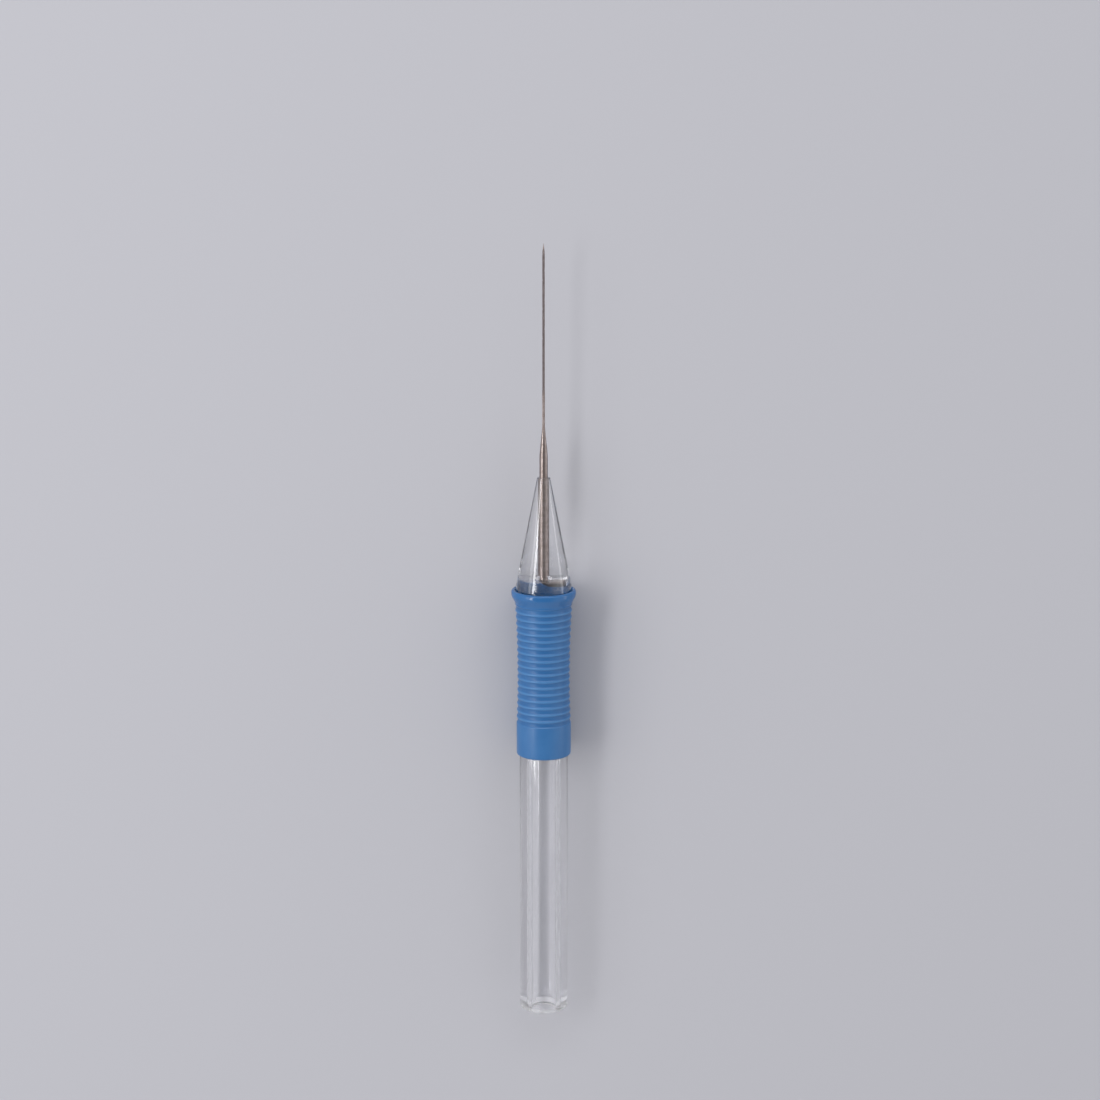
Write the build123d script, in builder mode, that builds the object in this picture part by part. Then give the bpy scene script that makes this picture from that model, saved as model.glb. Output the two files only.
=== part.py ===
"""Felting needle in a pen-shaped handle: a cranked steel needle with a barbed
three-edged point, a clear screw-off nose cone, a clear hollow barrel and a
ribbed soft grip. Millimetres, lying down: tool axis along Y, point to +Y."""

from math import cos, radians, sin
import os

from build123d import *

# Needle: one length of steel wire, cranked at the back, reduced and barbed
needle_length = 76.2        # back of the crank to the point, three inches
shank_diameter = 1.83       # 15 gauge
crank_reach = 3.6           # tool axis to the end of the bent leg
crank_bend_radius = 1.6     # on the wire's centre line
wire_end_chamfer = 0.15
blade_length = 40.1         # reduced part, up to the point
taper_length = 6.7
blade_diameter = 0.6
flat_height = 0.17          # tool axis to each of the three flats
round_blade_length = 7.0    # reduced but still round, before the flats
flat_ramp_length = 1.2
point_length = 2.8
point_diameter = 0.06
edge_count = 3
barbs_per_edge = 3
first_barb = 3.2            # from the point
barb_pitch = 6.36           # from one barb to the next on the same edge
barb_offset = 2.12          # from one edge's barb to the next edge's
barb_length = 0.8
barb_depth = 0.09
barb_undercut = 0.05
barb_width = 0.3

# Nose cone: one clear moulding, bored for the needle and socketed behind
cone_length = 24.1
cone_tip_diameter = 2.86
flange_diameter = 12.3      # widest part of the cone
flange_length = 3.5
skirt_diameter = 10.2
skirt_length = 3.7
cone_tip_chamfer = 0.2
socket_chamfer = 0.3

# Barrel: one clear moulding with a blind bore from the tail
barrel_diameter = 10.8
barrel_shown_length = 60.0  # tail to the back of the grip
barrel_bore_diameter = 5.5
tail_round = 1.3
mouth_chamfer = 0.3
neck_diameter = 9.2         # seat of the grip
collar_length = 2.0         # holds the grip, and stops the nose's skirt
front_wall = 4.0            # closed end behind the needle's crank
spigot_wall = 0.95          # wall of the nose's skirt around the spigot
spigot_chamfer = 0.3
bore_end_chamfer = 0.8

# Grip: one soft moulding stretched over the barrel's neck
grip_length = 37.8
lip_diameter = 14.4
lip_wall = 0.3              # at the very front edge
lip_chamfer_length = 0.5
lip_length = 1.6            # front edge to the back of the widest part
flare_length = 3.7          # front edge to the foot of the flare
flare_foot_diameter = 13.0
waist_diameter = 11.7
waist_distance = 16.7       # front edge to the narrowest point
grip_rear_diameter = 12.1
grip_rear_chamfer = 0.3
rib_count = 17
rib_pitch = 1.48
rib_width = 0.6
groove_depth = 0.3

# Clearances
bore_clearance = 0.02       # needle in the nose
thread_clearance = 0.05     # spigot in the nose's socket
seat_gap = 0.05             # faces that meet when the nose is screwed home
grip_clearance = 0.2        # nose in the grip
flange_inset = 1.1          # cone's base stands this far in front of the lip

# Radii worked out from the diameters above
shank_radius = shank_diameter / 2
blade_radius = blade_diameter / 2
flange_radius = flange_diameter / 2
skirt_radius = skirt_diameter / 2
socket_radius = skirt_radius - spigot_wall
spigot_radius = socket_radius - thread_clearance
barrel_radius = barrel_diameter / 2
barrel_bore_radius = barrel_bore_diameter / 2
neck_radius = neck_diameter / 2
needle_bore_radius = shank_radius + bore_clearance
lip_radius = lip_diameter / 2
waist_radius = waist_diameter / 2
grip_rear_radius = grip_rear_diameter / 2
mouth_radius = flange_radius + grip_clearance
throat_radius = skirt_radius + grip_clearance

# Stations: distances along the tool axis from the tail
grip_rear = barrel_shown_length
grip_front = grip_rear + grip_length
cone_base = grip_front + flange_inset
cone_tip = cone_base + cone_length
flange_rear = cone_base - flange_length
skirt_end = flange_rear - skirt_length
collar_front = skirt_end - seat_gap
collar_rear = collar_front - collar_length
crank_back = grip_front + flange_inset / 2
crank_line = crank_back + shank_radius
spigot_end = crank_back - seat_gap
socket_floor = crank_line + shank_radius + bore_clearance
barrel_bore_end = spigot_end - front_wall
needle_point = crank_back + needle_length
blade_start = needle_point - blade_length
taper_start = blade_start - taper_length
tail_y = -needle_point / 2
axis_height = lip_radius

tool_axis = Axis((0, 0, axis_height), (0, 1, 0))


def axial_plane(turn):
    """Plane through the tool axis: local x runs from the tail to the point,
    local y is the radius, turned about the axis from straight up."""
    side = (cos(radians(turn)), 0, -sin(radians(turn)))
    return Plane(origin=(0, tail_y, axis_height), x_dir=(0, 1, 0), z_dir=side)


profile_plane = axial_plane(0)
top_plane = axial_plane(90)

os.makedirs("parts", exist_ok=True)

# Needle. The crank's leg lies towards +X. The blade starts round, and three
# ground flats leave three edges, each with its own row of barbs.
with BuildPart() as needle:
    with BuildLine(top_plane) as wire_path:
        leg = Line((crank_line, crank_reach), (crank_line, crank_bend_radius))
        bend = TangentArc(leg @ 1, (crank_line + crank_bend_radius, 0), tangent=leg % 1)
        Line(bend @ 1, (taper_start, 0))
    with BuildSketch(Plane(origin=wire_path.line @ 0, z_dir=wire_path.line % 0)):
        Circle(shank_radius)
    sweep(path=wire_path.line)
    leg_end = needle.edges().filter_by(GeomType.CIRCLE).sort_by(Axis.X)[-1]
    chamfer(leg_end, wire_end_chamfer)

    with BuildSketch(profile_plane):
        with BuildLine():
            Polyline(
                (taper_start, 0),
                (taper_start, shank_radius),
                (blade_start, blade_radius),
                (needle_point - point_length, blade_radius),
                (needle_point, point_diameter / 2),
                (needle_point, 0),
                close=True,
            )
        make_face()
    revolve(axis=tool_axis)

    flat_start = blade_start + round_blade_length
    for edge in range(edge_count):
        edge_turn = edge * 360 / edge_count
        with BuildSketch(axial_plane(edge_turn + 180)):
            with BuildLine():
                Polyline(
                    (flat_start, blade_radius),
                    (flat_start + flat_ramp_length, flat_height),
                    (needle_point, flat_height),
                    (needle_point, blade_radius),
                    close=True,
                )
            make_face()
        extrude(amount=blade_radius, both=True, mode=Mode.SUBTRACT)

        for row in range(barbs_per_edge):
            step = first_barb + row * barb_pitch + edge * barb_offset
            barb_front = needle_point - step
            barb_back = barb_front - barb_length
            with BuildSketch(axial_plane(edge_turn)):
                with BuildLine():
                    Polyline(
                        (barb_front, blade_radius),
                        (barb_back - barb_undercut, blade_radius - barb_depth),
                        (barb_back, blade_radius),
                        close=True,
                    )
                make_face()
            extrude(amount=barb_width / 2, both=True, mode=Mode.SUBTRACT)
needle.part.label = "needle"
export_step(needle.part, "parts/needle.step")

# Nose cone. The needle's crank lies on the socket's floor, and the entry of
# the bore is countersunk for the inside of the crank's bend.
with BuildPart() as nose_cone:
    entry = crank_bend_radius - shank_radius
    with BuildSketch(profile_plane):
        with BuildLine():
            Polyline(
                (cone_tip, needle_bore_radius),
                (cone_tip, cone_tip_diameter / 2),
                (cone_base, flange_radius),
                (flange_rear, flange_radius),
                (flange_rear, skirt_radius),
                (skirt_end, skirt_radius),
                (skirt_end, socket_radius + socket_chamfer),
                (skirt_end + socket_chamfer, socket_radius),
                (socket_floor, socket_radius),
                (socket_floor, needle_bore_radius + entry),
                (socket_floor + entry, needle_bore_radius),
                close=True,
            )
        make_face()
    revolve(axis=tool_axis)
    tip_rims = nose_cone.edges().filter_by(GeomType.CIRCLE).group_by(Axis.Y)[-1]
    chamfer(tip_rims.sort_by(SortBy.RADIUS)[-1], cone_tip_chamfer)
nose_cone.part.label = "nose_cone"
export_step(nose_cone.part, "parts/nose_cone.step")

# Barrel. Its plain spigot carries the nose, its collar and the step behind
# the neck hold the grip, and its bore is open at the tail.
with BuildPart() as barrel:
    with BuildSketch(profile_plane):
        with BuildLine():
            Polyline(
                (barrel_bore_end, 0),
                (spigot_end, 0),
                (spigot_end, spigot_radius - spigot_chamfer),
                (spigot_end - spigot_chamfer, spigot_radius),
                (collar_front, spigot_radius),
                (collar_front, throat_radius),
                (collar_rear, throat_radius),
                (collar_rear, neck_radius),
                (grip_rear, neck_radius),
                (grip_rear, barrel_radius),
                (tail_round, barrel_radius),
            )
            RadiusArc((tail_round, barrel_radius), (0, barrel_radius - tail_round), -tail_round)
            Polyline(
                (0, barrel_radius - tail_round),
                (0, barrel_bore_radius + mouth_chamfer),
                (mouth_chamfer, barrel_bore_radius),
                (barrel_bore_end - bore_end_chamfer, barrel_bore_radius),
                (barrel_bore_end, barrel_bore_radius - bore_end_chamfer),
                (barrel_bore_end, 0),
            )
        make_face()
    revolve(axis=tool_axis)
barrel.part.label = "barrel"
export_step(barrel.part, "parts/barrel.step")

# Grip. A bead round the mouth, a flare, a waist of flat ribs with V grooves
# between them, drawn on one long arc, and a plain band at the back.
with BuildPart() as grip:
    groove_width = rib_pitch - rib_width
    ribs_start = grip_front - flare_length
    ribs_end = ribs_start - groove_width - rib_count * rib_pitch
    mouth_floor = flange_rear - grip_clearance
    with BuildLine(mode=Mode.PRIVATE):
        waist = ThreePointArc(
            (ribs_start, flare_foot_diameter / 2),
            (grip_front - waist_distance, waist_radius),
            (ribs_end, grip_rear_radius),
        )
    rib_corners = []
    for groove in range(rib_count + 1):
        groove_station = ribs_start - groove_width / 2 - groove * rib_pitch
        rib_front = groove_station - groove_width / 2
        rib_middle = rib_front - rib_width / 2
        groove_share = (ribs_start - groove_station) / (ribs_start - ribs_end)
        rib_share = (ribs_start - rib_middle) / (ribs_start - ribs_end)
        rib_corners.append((groove_station, (waist @ groove_share).Y - groove_depth))
        if groove < rib_count:
            rib_radius = (waist @ rib_share).Y
            rib_corners.append((rib_front, rib_radius))
            rib_corners.append((rib_front - rib_width, rib_radius))
    with BuildSketch(profile_plane):
        with BuildLine():
            Polyline(
                (grip_front, mouth_radius),
                (grip_front, mouth_radius + lip_wall),
                (grip_front - lip_chamfer_length, lip_radius),
                (grip_front - lip_length, lip_radius),
                (ribs_start, flare_foot_diameter / 2),
                *rib_corners,
                (ribs_end, grip_rear_radius),
                (grip_rear + grip_rear_chamfer, grip_rear_radius),
                (grip_rear, grip_rear_radius - grip_rear_chamfer),
                (grip_rear, neck_radius),
                (collar_rear, neck_radius),
                (collar_rear, throat_radius),
                (mouth_floor, throat_radius),
                (mouth_floor, mouth_radius),
                close=True,
            )
        make_face()
    revolve(axis=tool_axis)
grip.part.label = "grip"
export_step(grip.part, "parts/grip.step")
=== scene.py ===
"""Felting needle in a pen-shaped handle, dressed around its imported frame. Metres,
lying down as in the frame: the tool axis along Y, the point towards +Y."""

import math

import bmesh
import bpy
from mathutils import Matrix, Vector


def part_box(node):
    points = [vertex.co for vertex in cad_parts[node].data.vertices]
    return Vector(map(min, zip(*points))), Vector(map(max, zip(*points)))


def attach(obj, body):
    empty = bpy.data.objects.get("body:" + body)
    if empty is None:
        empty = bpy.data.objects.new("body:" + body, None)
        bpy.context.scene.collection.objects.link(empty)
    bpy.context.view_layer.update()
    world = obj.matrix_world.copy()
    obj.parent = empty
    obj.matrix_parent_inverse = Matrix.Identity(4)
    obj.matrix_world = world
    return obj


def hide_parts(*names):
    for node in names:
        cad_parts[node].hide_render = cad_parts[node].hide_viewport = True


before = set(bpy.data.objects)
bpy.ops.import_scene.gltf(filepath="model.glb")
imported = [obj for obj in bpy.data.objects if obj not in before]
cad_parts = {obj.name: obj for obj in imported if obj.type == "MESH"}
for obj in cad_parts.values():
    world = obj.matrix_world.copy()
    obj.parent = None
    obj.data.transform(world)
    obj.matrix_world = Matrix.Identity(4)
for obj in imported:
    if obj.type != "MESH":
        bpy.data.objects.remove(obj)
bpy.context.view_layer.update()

# Needle. Steel wire, drawn and plated, bent square at the back, then reduced in
# front to a thin round blade with three ground flats. Each of the three edges
# that they leave has a row of barbs, struck so that they face the point.
needle_low, needle_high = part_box("needle")
grip_low, grip_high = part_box("grip")
axis_height = (grip_low.z + grip_high.z) / 2
point_y = needle_high.y
shank_radius = 0.000915
crank_y = needle_low.y + shank_radius
crank_reach = needle_high.x
crank_bend_radius = 0.0016
wire_end_round = 0.00015
blade_length = 0.0401
taper_length = 0.0067
blade_radius = 0.0003
flat_height = 0.00017
round_blade_length = 0.007
flat_ramp_length = 0.0012
point_length = 0.0028
point_radius = 0.00003
edge_turns = (0, math.radians(120), math.radians(240))
barbs_per_edge = 3
first_barb = 0.0032
barb_pitch = 0.00636
barb_offset = 0.00212
barb_length = 0.0008
barb_depth = 0.00009
barb_undercut = 0.00005
barb_wall_run = 0.000002
ring_step_degrees = 5
end_steps = 4
bend_steps = 18
taper_steps = 24
taper_smoothing = 0.25
flat_steps = 6
barb_steps = 6
point_steps = 12
point_curve = 1.4
needle_sharp_angle = math.radians(35)


def skinned(name, rings, material, sharp_angle, looped=False):
    """A mesh over rings of points. A ring of one point closes an end."""
    work = bmesh.new()
    made = [[work.verts.new(point) for point in ring] for ring in rings]
    around = max(len(ring) for ring in rings)
    following = made[1:] + made[:1] if looped else made[1:]
    for near, far in zip(made, following):
        for i in range(around):
            j = (i + 1) % around
            corners = (
                near[i % len(near)],
                near[j % len(near)],
                far[j % len(far)],
                far[i % len(far)],
            )
            work.faces.new(dict.fromkeys(corners))
    bmesh.ops.recalc_face_normals(work, faces=work.faces)
    mesh = bpy.data.meshes.new(name)
    work.to_mesh(mesh)
    work.free()
    mesh.shade_smooth()
    mesh.set_sharp_from_angle(angle=sharp_angle)
    mesh.materials.append(material)
    piece = bpy.data.objects.new(name, mesh)
    bpy.context.collection.objects.link(piece)
    return piece


def with_inputs(node, values):
    """A node with these input values, which are named by their sockets."""
    for socket, value in values.items():
        node.inputs[socket.replace("_", " ")].default_value = value
    return node


def add_node(tree, kind, **values):
    """A new node of this kind with its input values."""
    return with_inputs(tree.nodes.new(kind), values)


def new_effect(name, inputs, outputs):
    """A node group with these (name, kind) sockets, and its two end nodes."""
    tree = bpy.data.node_groups.new(name, "ShaderNodeTree")
    for in_out, sockets in (("INPUT", inputs), ("OUTPUT", outputs)):
        for socket_name, kind in sockets:
            tree.interface.new_socket(name=socket_name, in_out=in_out, socket_type=kind)
    return tree, tree.nodes.new("NodeGroupInput"), tree.nodes.new("NodeGroupOutput")


def new_finish(name, **values):
    """A material, its Principled shader with these values, and its node tree."""
    material = bpy.data.materials.new(name)
    material.use_nodes = True
    shader = with_inputs(material.node_tree.nodes["Principled BSDF"], values)
    return material, shader, material.node_tree


def place_effect(tree, effect, **values):
    """A node group placed in a material's tree with its own values."""
    node = tree.nodes.new("ShaderNodeGroup")
    node.node_tree = effect
    return with_inputs(node, values)


# handling_wear: patches of duller surface where fingers rub, crossed by hairline
# scratches. Its height feeds a bump, and its colour drifts with the patches.
handling_wear, asked, given = new_effect(
    "handling_wear",
    [
        ("Polished", "NodeSocketFloat"),
        ("Rubbed", "NodeSocketFloat"),
        ("Patch Scale", "NodeSocketFloat"),
        ("Scratch Scale", "NodeSocketFloat"),
        ("Scratch Stretch", "NodeSocketVector"),
        ("Fresh Colour", "NodeSocketColor"),
        ("Worn Colour", "NodeSocketColor"),
    ],
    [
        ("Colour", "NodeSocketColor"),
        ("Roughness", "NodeSocketFloat"),
        ("Height", "NodeSocketFloat"),
    ],
)
where = handling_wear.nodes.new("ShaderNodeTexCoord")
patches = add_node(handling_wear, "ShaderNodeTexNoise", Detail=3, Roughness=0.55)
stretch = handling_wear.nodes.new("ShaderNodeVectorMath")
stretch.operation = "MULTIPLY"
scratches = add_node(handling_wear, "ShaderNodeTexNoise", Detail=2, Roughness=0.7)
hairline = add_node(
    handling_wear, "ShaderNodeMapRange", From_Min=0.62, From_Max=0.72, To_Min=0, To_Max=1
)
rubbing = handling_wear.nodes.new("ShaderNodeMath")
rubbing.operation = "MAXIMUM"
spread = add_node(
    handling_wear, "ShaderNodeMapRange", From_Min=0.4, From_Max=0.65, To_Min=0, To_Max=1
)
dulling = handling_wear.nodes.new("ShaderNodeMapRange")
drift = handling_wear.nodes.new("ShaderNodeMix")
drift.data_type = "RGBA"
wire_up = handling_wear.links.new
wire_up(where.outputs["Object"], patches.inputs["Vector"])
wire_up(asked.outputs["Patch Scale"], patches.inputs["Scale"])
wire_up(where.outputs["Object"], stretch.inputs[0])
wire_up(asked.outputs["Scratch Stretch"], stretch.inputs[1])
wire_up(stretch.outputs["Vector"], scratches.inputs["Vector"])
wire_up(asked.outputs["Scratch Scale"], scratches.inputs["Scale"])
wire_up(patches.outputs["Fac"], spread.inputs["Value"])
wire_up(scratches.outputs["Fac"], hairline.inputs["Value"])
wire_up(spread.outputs["Result"], rubbing.inputs[0])
wire_up(hairline.outputs["Result"], rubbing.inputs[1])
wire_up(rubbing.outputs["Value"], dulling.inputs["Value"])
wire_up(asked.outputs["Polished"], dulling.inputs["To Min"])
wire_up(asked.outputs["Rubbed"], dulling.inputs["To Max"])
wire_up(spread.outputs["Result"], drift.inputs["Factor"])
wire_up(asked.outputs["Fresh Colour"], drift.inputs["A"])
wire_up(asked.outputs["Worn Colour"], drift.inputs["B"])
wire_up(drift.outputs["Result"], given.inputs["Colour"])
wire_up(dulling.outputs["Result"], given.inputs["Roughness"])
wire_up(scratches.outputs["Fac"], given.inputs["Height"])


def dress(tree, shader, wear, bump_strength, bump_distance):
    """Feeds a wear group's roughness and height into a shader."""
    bump = add_node(tree, "ShaderNodeBump", Strength=bump_strength, Distance=bump_distance)
    tree.links.new(wear.outputs["Height"], bump.inputs["Height"])
    tree.links.new(bump.outputs["Normal"], shader.inputs["Normal"])
    tree.links.new(wear.outputs["Roughness"], shader.inputs["Roughness"])


steel, steel_shader, steel_tree = new_finish("plated steel wire", Metallic=1)
steel_wear = place_effect(
    steel_tree,
    handling_wear,
    Polished=0.28,
    Rubbed=0.34,
    Patch_Scale=900,
    Scratch_Scale=5000,
    Scratch_Stretch=(1, 0.03, 1),
    Fresh_Colour=(0.32, 0.27, 0.255, 1),
    Worn_Colour=(0.25, 0.205, 0.19, 1),
)
steel_tree.links.new(steel_wear.outputs["Colour"], steel_shader.inputs["Base Color"])
dress(steel_tree, steel_shader, steel_wear, bump_strength=0.03, bump_distance=0.00001)

ring_turns = [math.radians(turn) for turn in range(0, 360, ring_step_degrees)]
land_turn = math.acos(flat_height / blade_radius)
for edge_turn in edge_turns:
    ring_turns += [edge_turn + math.pi - land_turn, edge_turn + math.pi + land_turn]
ring_turns = sorted(turn % math.tau for turn in ring_turns)


def wire_ring(centre, heading, radius):
    """One round ring of the wire, square to its heading in the plane of the crank."""
    side = heading.cross(Vector((0, 0, 1)))
    return [
        centre + radius * (math.sin(turn) * side + math.cos(turn) * Vector((0, 0, 1)))
        for turn in ring_turns
    ]


def blade_ring(y, wall, flat, edge_turn=None, floor=None):
    """One ring of the blade, with its flats and, on one edge, a notch down to its floor.
    What the notch takes away leans back by the undercut."""
    ring = []
    for turn in ring_turns:
        radius = wall
        for other_turn in edge_turns:
            towards_flat = -math.cos(turn - other_turn)
            if towards_flat > 0:
                radius = min(radius, flat / towards_flat)
        lean = 0
        if floor is not None:
            towards_edge = math.cos(turn - edge_turn)
            if radius * towards_edge > floor:
                lean = barb_undercut * (radius * towards_edge - floor) / barb_depth
                radius = floor / towards_edge
        ring.append(
            Vector((radius * math.sin(turn), y - lean, axis_height + radius * math.cos(turn)))
        )
    return ring


into_leg = Vector((-1, 0, 0))
along = Vector((0, 1, 0))
bend_centre = Vector((crank_bend_radius, crank_y + crank_bend_radius, axis_height))


def bend_ring(share, radius):
    """One ring of the crank's bend, from the leg at share 0 to the shank at share 1."""
    swing = math.radians(90) * share
    arm = into_leg * math.sin(swing) - along * math.cos(swing)
    heading = into_leg * math.cos(swing) + along * math.sin(swing)
    return wire_ring(bend_centre + arm * crank_bend_radius, heading, radius)


leg_centre = Vector((crank_reach, crank_y, axis_height))
wire_rings = [[leg_centre]]
for step in range(end_steps + 1):
    swing = math.radians(90) * step / end_steps
    radius = shank_radius - wire_end_round * (1 - math.sin(swing))
    depth = wire_end_round * (1 - math.cos(swing))
    wire_rings.append(wire_ring(leg_centre + into_leg * depth, into_leg, radius))
for step in range(bend_steps + 1):
    wire_rings.append(bend_ring(step / bend_steps, shank_radius))
blade_start_y = point_y - blade_length
taper_start_y = blade_start_y - taper_length
for step in range(taper_steps + 1):
    share = step / taper_steps
    smooth_share = share * share * (3 - 2 * share)
    ease = (1 - taper_smoothing) * share + taper_smoothing * smooth_share
    radius = shank_radius + (blade_radius - shank_radius) * ease
    wire_rings.append(
        wire_ring(Vector((0, taper_start_y + taper_length * share, axis_height)), along, radius)
    )
flat_start_y = blade_start_y + round_blade_length
wire_rings.append(blade_ring(flat_start_y, blade_radius, blade_radius))
for step in range(1, flat_steps + 1):
    share = step / flat_steps
    flat = blade_radius + (flat_height - blade_radius) * share
    wire_rings.append(
        blade_ring(flat_start_y + flat_ramp_length * share, blade_radius, flat)
    )
barbs = [
    (point_y - first_barb - row * barb_pitch - edge * barb_offset, edge_turn)
    for row in range(barbs_per_edge)
    for edge, edge_turn in enumerate(edge_turns)
]
for barb_y, edge_turn in sorted(barbs):
    back_y = barb_y - barb_length
    wire_rings.append(blade_ring(back_y, blade_radius, flat_height))
    for step in range(barb_steps + 1):
        share = step / barb_steps
        floor = blade_radius - barb_depth * (1 - share)
        wire_rings.append(
            blade_ring(
                back_y + barb_wall_run + barb_length * share,
                blade_radius,
                flat_height,
                edge_turn,
                floor,
            )
        )
for step in range(point_steps + 1):
    share = step / point_steps
    wall = blade_radius + (point_radius - blade_radius) * share**point_curve
    wire_rings.append(blade_ring(point_y - point_length * (1 - share), wall, flat_height))
wire_rings[-1] = [point + Vector((0, -point_radius / 2, 0)) for point in wire_rings[-1]]
wire_rings.append([Vector((0, point_y, axis_height))])
needle_wire = skinned("needle_wire", wire_rings, steel, needle_sharp_angle)
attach(needle_wire, "needle_carrier")
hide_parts("needle")

# Nose cone. One clear moulding in hard polished plastic, bored close round the
# wire, with a socket behind that screws onto the barrel and traps the crank.
nose_low, nose_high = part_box("nose_cone")
cone_length = 0.0241
flange_length = 0.0035
tip_y = nose_high.y
cone_base_y = tip_y - cone_length
skirt_end_y = nose_low.y
flange_rear_y = cone_base_y - flange_length
flange_radius = nose_high.x
tip_radius = 0.00143
skirt_radius = 0.0051
socket_radius = 0.00415
crank_play = 0.00002
socket_floor_y = crank_y + shank_radius + crank_play
bore_entry = crank_bend_radius - shank_radius
edge_round = 0.0001
tip_bore_round = 0.00008
tip_round = 0.0002
cone_base_round = 0.0004
flange_round = 0.00015
skirt_round = 0.00015
socket_mouth_round = 0.00025
socket_floor_round = 0.0003
bore_entry_round = 0.0003
turning_steps = 144
arc_step = math.radians(9)
turned_sharp_angle = math.radians(28)

# Touching surfaces overlap by the close fit, so that light meets no air gap there.
close_fit = 0.00001
nose_bore_radius = shank_radius - close_fit


def rounded(corners):
    """The (y, radius) points of an outline whose (y, radius, rounding) corners are rounded."""
    points = []
    for i, (y, radius, rounding) in enumerate(corners):
        here = Vector((y, radius))
        if not rounding:
            points.append((y, radius))
            continue
        back = (Vector(corners[i - 1][:2]) - here).normalized()
        ahead = (Vector(corners[(i + 1) % len(corners)][:2]) - here).normalized()
        half = back.angle(ahead) / 2
        centre = here + (back + ahead).normalized() * rounding / math.sin(half)
        first = here + back * rounding / math.tan(half) - centre
        last = here + ahead * rounding / math.tan(half) - centre
        begin = math.atan2(first.y, first.x)
        sweep = (math.atan2(last.y, last.x) - begin + math.pi) % math.tau - math.pi
        steps = max(2, math.ceil(abs(sweep) / arc_step))
        for step in range(steps + 1):
            swing = begin + sweep * step / steps
            points.append(
                (centre.x + rounding * math.cos(swing), centre.y + rounding * math.sin(swing))
            )
    return points


def turned(name, outline, material, looped):
    """A piece turned about the tool axis from (y, radius) points."""
    rings = []
    for y, radius in outline:
        if radius == 0:
            rings.append([Vector((0, y, axis_height))])
            continue
        ring = []
        for step in range(turning_steps):
            turn = math.tau * step / turning_steps
            ring.append(
                Vector((radius * math.sin(turn), y, axis_height + radius * math.cos(turn)))
            )
        rings.append(ring)
    return skinned(name, rings, material, turned_sharp_angle, looped)


def clear_plastic(name, polished, rubbed, clearness, light_passed, gloss):
    """Clear plastic. It refracts less than the real one, so that it hardly widens what it
    shows, and it casts a thin shadow, because this share of the light goes through."""
    material, shader, tree = new_finish(
        name, Transmission_Weight=clearness, IOR=1.36, Coat_Weight=gloss
    )
    wear = place_effect(
        tree,
        handling_wear,
        Polished=polished,
        Rubbed=rubbed,
        Patch_Scale=180,
        Scratch_Scale=900,
        Scratch_Stretch=(1, 0.12, 1),
        Fresh_Colour=(0.985, 0.985, 0.995, 1),
        Worn_Colour=(0.965, 0.965, 0.98, 1),
    )
    tree.links.new(wear.outputs["Colour"], shader.inputs["Base Color"])
    dress(tree, shader, wear, bump_strength=0.08, bump_distance=0.00002)
    light_path = tree.nodes.new("ShaderNodeLightPath")
    let_through = add_node(
        tree, "ShaderNodeBsdfTransparent", Color=(light_passed, light_passed, light_passed, 1)
    )
    thin_shadow = tree.nodes.new("ShaderNodeMixShader")
    tree.links.new(light_path.outputs["Is Shadow Ray"], thin_shadow.inputs["Fac"])
    tree.links.new(shader.outputs["BSDF"], thin_shadow.inputs[1])
    tree.links.new(let_through.outputs["BSDF"], thin_shadow.inputs[2])
    surface = tree.nodes["Material Output"].inputs["Surface"]
    tree.links.new(thin_shadow.outputs["Shader"], surface)
    return material


def refinish(piece, material, low_y, high_y, low_radius, high_radius):
    """Gives a piece's faces between these lengths and radii another material."""
    piece.data.materials.append(material)
    for face in piece.data.polygons:
        across = math.hypot(face.center.x, face.center.z - axis_height)
        if low_y < face.center.y < high_y and low_radius < across < high_radius:
            face.material_index = len(piece.data.materials) - 1


clear_cone = clear_plastic(
    "clear polished cone", polished=0.03, rubbed=0.08, clearness=1, light_passed=0.85, gloss=1
)
clear_dull = clear_plastic(
    "clear plastic, dull inside",
    polished=0.09,
    rubbed=0.16,
    clearness=1,
    light_passed=0.85,
    gloss=0,
)
# Rougher and less clear plastic. Its pale diffuse share is painted light, which lifts the dark
# crescents at the tail's rounded end and at the flange's rear face.
clear_matt_painted_light = clear_plastic(
    "clear plastic, matt with painted light",
    polished=0.24,
    rubbed=0.34,
    clearness=0.8,
    light_passed=0.65,
    gloss=0,
)
clear_nose = turned(
    "clear_nose",
    rounded(
        [
            (tip_y, nose_bore_radius, tip_bore_round),
            (tip_y, tip_radius, tip_round),
            (cone_base_y, flange_radius, cone_base_round),
            (flange_rear_y, flange_radius, flange_round),
            (flange_rear_y, skirt_radius, edge_round),
            (skirt_end_y, skirt_radius, skirt_round),
            (skirt_end_y, socket_radius, socket_mouth_round),
            (socket_floor_y, socket_radius, socket_floor_round),
            (socket_floor_y, nose_bore_radius + bore_entry, edge_round),
            (socket_floor_y + bore_entry, nose_bore_radius, bore_entry_round),
        ]
    ),
    clear_cone,
    looped=True,
)
inside_margin = 0.0001
refinish(
    clear_nose,
    clear_dull,
    low_y=skirt_end_y,
    high_y=socket_floor_y + inside_margin,
    low_radius=0,
    high_radius=skirt_radius - inside_margin,
)
# The flange's rear face gets the painted light of the less clear plastic.
refinish(
    clear_nose,
    clear_matt_painted_light,
    low_y=flange_rear_y - 2 * inside_margin,
    high_y=flange_rear_y + 2 * inside_margin,
    low_radius=skirt_radius - inside_margin,
    high_radius=flange_radius,
)
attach(clear_nose, "nose")
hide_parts("nose_cone")

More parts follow.
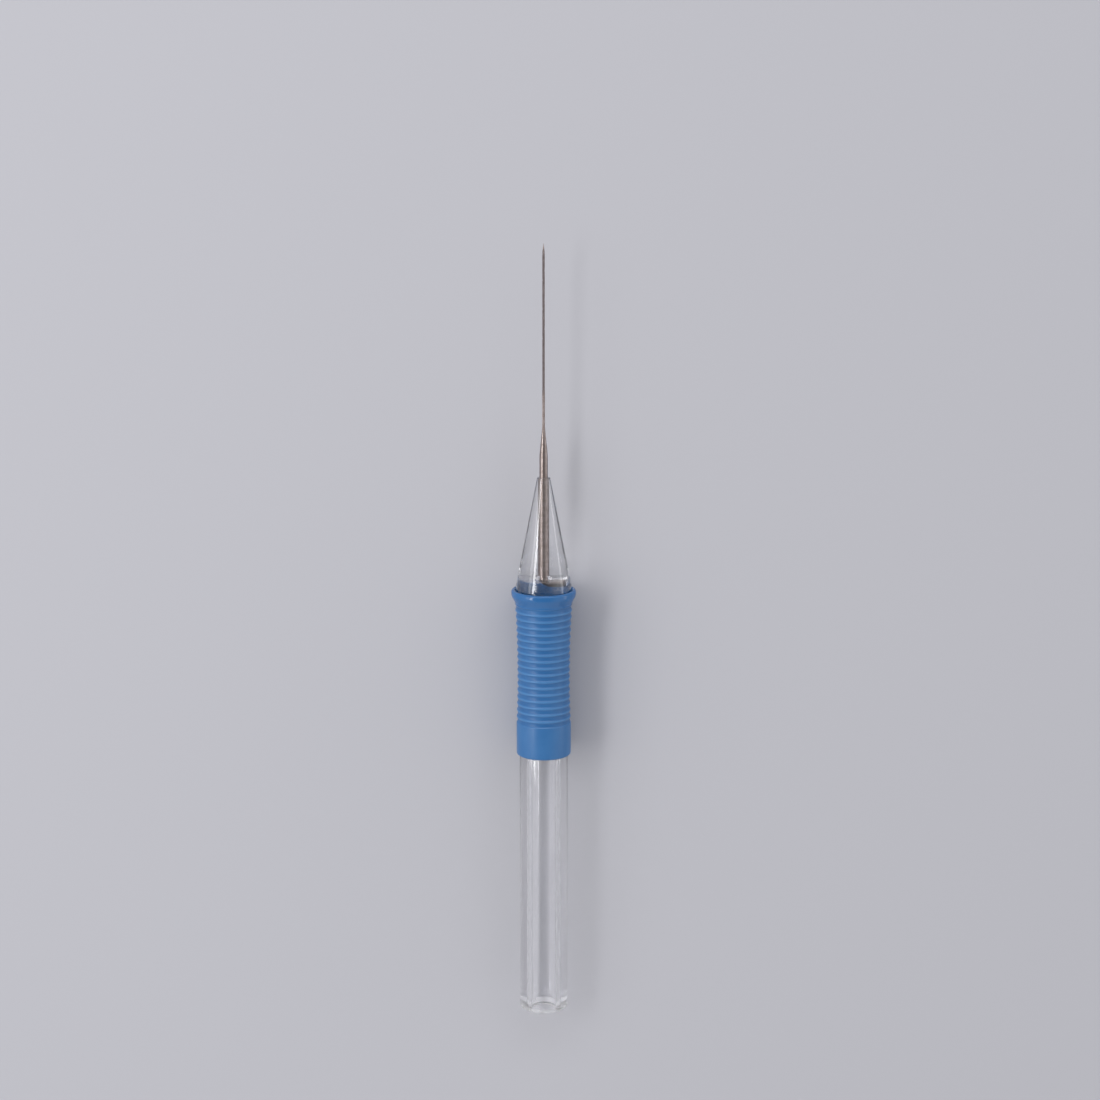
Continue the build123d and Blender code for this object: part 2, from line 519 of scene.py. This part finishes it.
# Barrel. One clear moulding in the same plastic, hollow from the open tail to a
# closed end, with a neck that the grip sits on and a spigot that fills the nose
# cone's socket up to its floor.
barrel_low, barrel_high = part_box("barrel")
tail_y = barrel_low.y
barrel_radius = barrel_high.x
barrel_bore_radius = 0.00275
bore_end_wall = 0.004
bore_end_y = barrel_high.y - bore_end_wall
neck_radius = 0.0046
collar_radius = 0.0053
collar_length = 0.002
collar_play = 0.00005
collar_front_y = skirt_end_y - collar_play
collar_rear_y = collar_front_y - collar_length
spigot_radius = socket_radius + close_fit
spigot_front_y = socket_floor_y + close_fit
shoulder_y = grip_low.y + close_fit
tail_round = 0.0013
tail_bore_round = 0.0003
bore_end_round = 0.0008
shoulder_round = 0.00015
spigot_round = 0.0003

clear_tube = clear_plastic(
    "clear polished tube", polished=0.03, rubbed=0.08, clearness=1, light_passed=0.65, gloss=1
)
clear_barrel = turned(
    "clear_barrel",
    rounded(
        [
            (bore_end_y, 0, 0),
            (bore_end_y, barrel_bore_radius, bore_end_round),
            (tail_y, barrel_bore_radius, tail_bore_round),
            (tail_y, barrel_radius, tail_round),
            (shoulder_y, barrel_radius, shoulder_round),
            (shoulder_y, neck_radius, edge_round),
            (collar_rear_y, neck_radius, edge_round),
            (collar_rear_y, collar_radius, edge_round),
            (collar_front_y, collar_radius, edge_round),
            (collar_front_y, spigot_radius, edge_round),
            (spigot_front_y, spigot_radius, spigot_round),
            (spigot_front_y, 0, 0),
        ]
    ),
    clear_tube,
    looped=False,
)


def cut_away(piece, corners):
    """Cuts a convex shape with these corners out of a piece."""
    work = bmesh.new()
    for corner in corners:
        work.verts.new(corner)
    hull = bmesh.ops.convex_hull(work, input=work.verts)
    bmesh.ops.delete(work, geom=hull["geom_interior"], context="VERTS")
    bmesh.ops.recalc_face_normals(work, faces=work.faces)
    cutter_mesh = bpy.data.meshes.new("cutter")
    work.to_mesh(cutter_mesh)
    work.free()
    cutter = bpy.data.objects.new("cutter", cutter_mesh)
    bpy.context.collection.objects.link(cutter)
    cut = piece.modifiers.new("cut", "BOOLEAN")
    cut.operation = "DIFFERENCE"
    cut.solver = "EXACT"
    cut.object = cutter
    seen = piece.evaluated_get(bpy.context.evaluated_depsgraph_get())
    piece.data = bpy.data.meshes.new_from_object(seen)
    piece.modifiers.clear()
    bpy.data.objects.remove(cutter)
    piece.data.set_sharp_from_angle(angle=turned_sharp_angle)


# The slot across the spigot's end, in which the crank lies and can't turn. It is
# as deep as the wire is thick, so the wire's round back rests in its round floor.
seat_radius = shank_radius - close_fit
seat_steps = 9
seat_corners = wire_ring(
    Vector((spigot_radius + inside_margin, crank_y, axis_height)), into_leg, seat_radius
)
for step in range(seat_steps + 1):
    seat_corners += bend_ring(step / seat_steps, seat_radius)
seat_corners += [corner + along * 2 * shank_radius for corner in seat_corners]
cut_away(clear_barrel, seat_corners)
refinish(
    clear_barrel,
    clear_dull,
    low_y=collar_front_y,
    high_y=spigot_front_y + inside_margin,
    low_radius=0,
    high_radius=spigot_radius + inside_margin,
)
# The tail's rounded end gets the painted light of the less clear plastic.
refinish(
    clear_barrel,
    clear_matt_painted_light,
    low_y=tail_y - inside_margin,
    high_y=tail_y + tail_round,
    low_radius=0,
    high_radius=barrel_radius,
)
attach(clear_barrel, "handle")
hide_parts("barrel")

# Grip. One soft satin moulding stretched over the barrel's neck: a rolled lip
# round the mouth, a flare, seventeen rounded ribs on a waist and a plain band.
grip_front_y = grip_high.y
grip_rear_y = grip_low.y
lip_radius = grip_high.x
mouth_play = 0.0002
mouth_radius = flange_radius + mouth_play
mouth_floor_y = flange_rear_y - mouth_play
throat_radius = skirt_radius + mouth_play
lip_length = 0.0013
lip_back_y = grip_front_y - lip_length
flare_length = 0.0033
ribs_start_y = grip_front_y - flare_length
flare_foot_radius = 0.00635
flare_bow_length = 0.0005
flare_bow_height = 0.00008
waist_radius = 0.00585
waist_distance = 0.0167
waist_y = grip_front_y - waist_distance
rear_radius = 0.00605
mouth_round = 0.00025
lip_round = 0.00055
lip_back_round = 0.0011
flare_round = 0.0014
flare_foot_round = 0.0003
band_round = 0.0003
rear_round = 0.0005
rib_count = 17
rib_pitch = 0.00152
rib_width = 0.00026
rib_round = 0.0002
groove_depth = 0.0002
groove_floor = 0.00066
groove_width = rib_pitch - rib_width
ribs_end_y = ribs_start_y - groove_width - rib_count * rib_pitch
crest_sharpness = 3
band_pale_share = 0.28
# Painted highlight: the paler blue that the crests of the ribs are coloured in place of the
# light that catches them.
painted_crest_highlight_colour = (0.058, 0.192, 0.420, 1)


def waist_at(y):
    """The radius of the long waist curve between the flare's foot and the band."""
    foot, middle, rear = ribs_start_y, waist_y, ribs_end_y
    return (
        flare_foot_radius * (y - middle) * (y - rear) / ((foot - middle) * (foot - rear))
        + waist_radius * (y - foot) * (y - rear) / ((middle - foot) * (middle - rear))
        + rear_radius * (y - foot) * (y - middle) / ((rear - foot) * (rear - middle))
    )


rib_corners = []
for groove in range(rib_count + 1):
    groove_y = ribs_start_y - groove_width / 2 - groove * rib_pitch
    floor_radius = waist_at(groove_y) - groove_depth
    rib_corners.append((groove_y + groove_floor / 2, floor_radius, rib_round))
    rib_corners.append((groove_y - groove_floor / 2, floor_radius, rib_round))
    if groove < rib_count:
        rib_front_y = groove_y - groove_width / 2
        rib_radius = waist_at(rib_front_y - rib_width / 2)
        rib_corners.append((rib_front_y, rib_radius, rib_round))
        rib_corners.append((rib_front_y - rib_width, rib_radius, rib_round))


def soft_rubber(name, polished, rubbed, fresh_colour, worn_colour):
    """Blue rubber, mixed towards a paler blue by a point attribute: a painted highlight on the
    crests of the ribs.
    """
    material, shader, tree = new_finish(name, Specular_IOR_Level=0.4)
    wear = place_effect(
        tree,
        handling_wear,
        Polished=polished,
        Rubbed=rubbed,
        Patch_Scale=220,
        Scratch_Scale=6000,
        Scratch_Stretch=(1, 1, 1),
        Fresh_Colour=fresh_colour,
        Worn_Colour=worn_colour,
    )
    # The painted highlight: the rubber's colour is mixed towards the pale crest colour as far
    # as the point attribute asks.
    crest = tree.nodes.new("ShaderNodeAttribute")
    crest.attribute_name = "crest"
    crest_highlight_mix = tree.nodes.new("ShaderNodeMix")
    crest_highlight_mix.data_type = "RGBA"
    crest_highlight_mix.inputs["B"].default_value = painted_crest_highlight_colour
    tree.links.new(crest.outputs["Fac"], crest_highlight_mix.inputs["Factor"])
    tree.links.new(wear.outputs["Colour"], crest_highlight_mix.inputs["A"])
    tree.links.new(crest_highlight_mix.outputs["Result"], shader.inputs["Base Color"])
    dress(tree, shader, wear, bump_strength=0.3, bump_distance=0.00001)
    return material


rubber = soft_rubber(
    "soft blue rubber",
    polished=0.32,
    rubbed=0.40,
    fresh_colour=(0.024, 0.119, 0.308, 1),
    worn_colour=(0.029, 0.133, 0.330, 1),
)
smooth_rubber = soft_rubber(
    "soft blue rubber, smooth",
    polished=0.08,
    rubbed=0.14,
    fresh_colour=(0.024, 0.122, 0.320, 1),
    worn_colour=(0.028, 0.132, 0.335, 1),
)
soft_grip = turned(
    "soft_grip",
    rounded(
        [
            (grip_front_y, mouth_radius, mouth_round),
            (grip_front_y, lip_radius, lip_round),
            (lip_back_y, lip_radius, lip_back_round),
            (
                ribs_start_y + flare_bow_length,
                flare_foot_radius + flare_bow_height,
                flare_round,
            ),
            (ribs_start_y, flare_foot_radius, flare_foot_round),
            *rib_corners,
            (ribs_end_y, rear_radius, band_round),
            (grip_rear_y, rear_radius, rear_round),
            (grip_rear_y, neck_radius - close_fit, edge_round),
            (collar_rear_y, neck_radius - close_fit, 0),
            (collar_rear_y, throat_radius, 0),
            (mouth_floor_y, throat_radius, edge_round),
            (mouth_floor_y, mouth_radius, edge_round),
        ]
    ),
    rubber,
    looped=True,
)
refinish(
    soft_grip,
    smooth_rubber,
    low_y=ribs_start_y,
    high_y=grip_front_y + inside_margin,
    low_radius=0,
    high_radius=lip_radius + inside_margin,
)

# How near each point is to the top of a rib. This sets a painted highlight: the crests are
# coloured paler where light would catch them.
# The plain band gets a little of the same pale colour all over, and the flare gets none.
crests = soft_grip.data.attributes.new("crest", "FLOAT", "POINT")
for i, vertex in enumerate(soft_grip.data.vertices):
    place = vertex.co
    if ribs_end_y < place.y < ribs_start_y:
        height = math.hypot(place.x, place.z - axis_height) - waist_at(place.y)
        crests.data[i].value = min(1, max(0, 1 + height / groove_depth)) ** crest_sharpness
    elif place.y < ribs_end_y:
        crests.data[i].value = band_pale_share
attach(soft_grip, "handle")
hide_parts("grip")

# Table. A wide sheet of pale card that the tool lies on. The tool touches it
# with the lip and the tail, so the card leans by the slope between the two.
rest_slope = math.atan2(lip_radius - barrel_radius, lip_back_y - tail_y - tail_round)
table_half = 3.0
table_corners = [
    Vector((x * table_half, y * table_half, 0)) for x, y in ((-1, -1), (1, -1), (1, 1), (-1, 1))
]
table_mesh = bpy.data.meshes.new("pale_table")
table_mesh.from_pydata(table_corners, [], [(0, 1, 2, 3)])
pale_table = bpy.data.objects.new("pale_table", table_mesh)
pale_table.matrix_world = Matrix.Translation((0, lip_back_y, 0)) @ Matrix.Rotation(
    -rest_slope, 4, "X"
)
bpy.context.collection.objects.link(pale_table)
card = new_finish("pale card", Base_Color=(0.47, 0.47, 0.505, 1), Roughness=0.9)[0]
table_mesh.materials.append(card)

# Light. The tool lies in a pale tent that is dim overhead. Two strip lamps stand
# on the left, one stands in front, and a weak one stands low on the right.
room = bpy.data.worlds.new("pale tent")
bpy.context.scene.world = room
room.use_nodes = True
tent = room.node_tree
tent_light = tent.nodes["Background"]
tent_light.inputs["Color"].default_value = (0.9, 0.9, 0.92, 1)
heading = tent.nodes.new("ShaderNodeTexCoord")
heading_axes = tent.nodes.new("ShaderNodeSeparateXYZ")
overhead = add_node(
    tent, "ShaderNodeMapRange", From_Min=0.55, From_Max=0.95, To_Min=1.05, To_Max=0.315
)
overhead.interpolation_type = "SMOOTHSTEP"
tent.links.new(heading.outputs["Generated"], heading_axes.inputs["Vector"])
tent.links.new(heading_axes.outputs["Z"], overhead.inputs["Value"])
tent.links.new(overhead.outputs["Result"], tent_light.inputs["Strength"])


def soft_lamp(name, place, width, height, power):
    """A rectangular lamp at this place that shines on the middle of the tool."""
    lamp = bpy.data.lights.new(name, "AREA")
    lamp.shape = "RECTANGLE"
    lamp.size = width
    lamp.size_y = height
    lamp.energy = power
    stand = bpy.data.objects.new(name, lamp)
    stand.location = place
    stand.rotation_euler = (-Vector(place)).to_track_quat("-Z", "Y").to_euler()
    bpy.context.collection.objects.link(stand)


soft_lamp("high left strip", (-0.72, 0.15, 0.80), width=0.9, height=0.2, power=4.2)
soft_lamp("low left strip", (-0.92, 0.15, 0.57), width=0.9, height=0.22, power=1.2)
soft_lamp("low right strip", (1.07, 0.15, 0.15), width=0.9, height=0.2, power=1.0)
soft_lamp("front strip", (0, 0.93, 0.70), width=1.6, height=0.3, power=3.4)

# Camera. It looks down on the tool from beyond the point, so that the cone and
# the grip's mouth show a little from the front.
view_tilt = math.radians(12.89)
camera_place = (0.0014, 0.1806, 0.7117)
looking = Vector((0, -math.sin(view_tilt), -math.cos(view_tilt)))
upward = Vector((0, math.cos(view_tilt), -math.sin(view_tilt)))
camera_data = bpy.data.cameras.new("camera")
camera_data.lens = 107.3
camera_data.sensor_width = 36
camera = bpy.data.objects.new("camera", camera_data)
pointing = Matrix((looking.cross(upward), upward, -looking)).transposed()
camera.matrix_world = Matrix.Translation(camera_place) @ pointing.to_4x4()
bpy.context.collection.objects.link(camera)
bpy.context.scene.camera = camera
bpy.context.scene.view_settings.view_transform = "Standard"
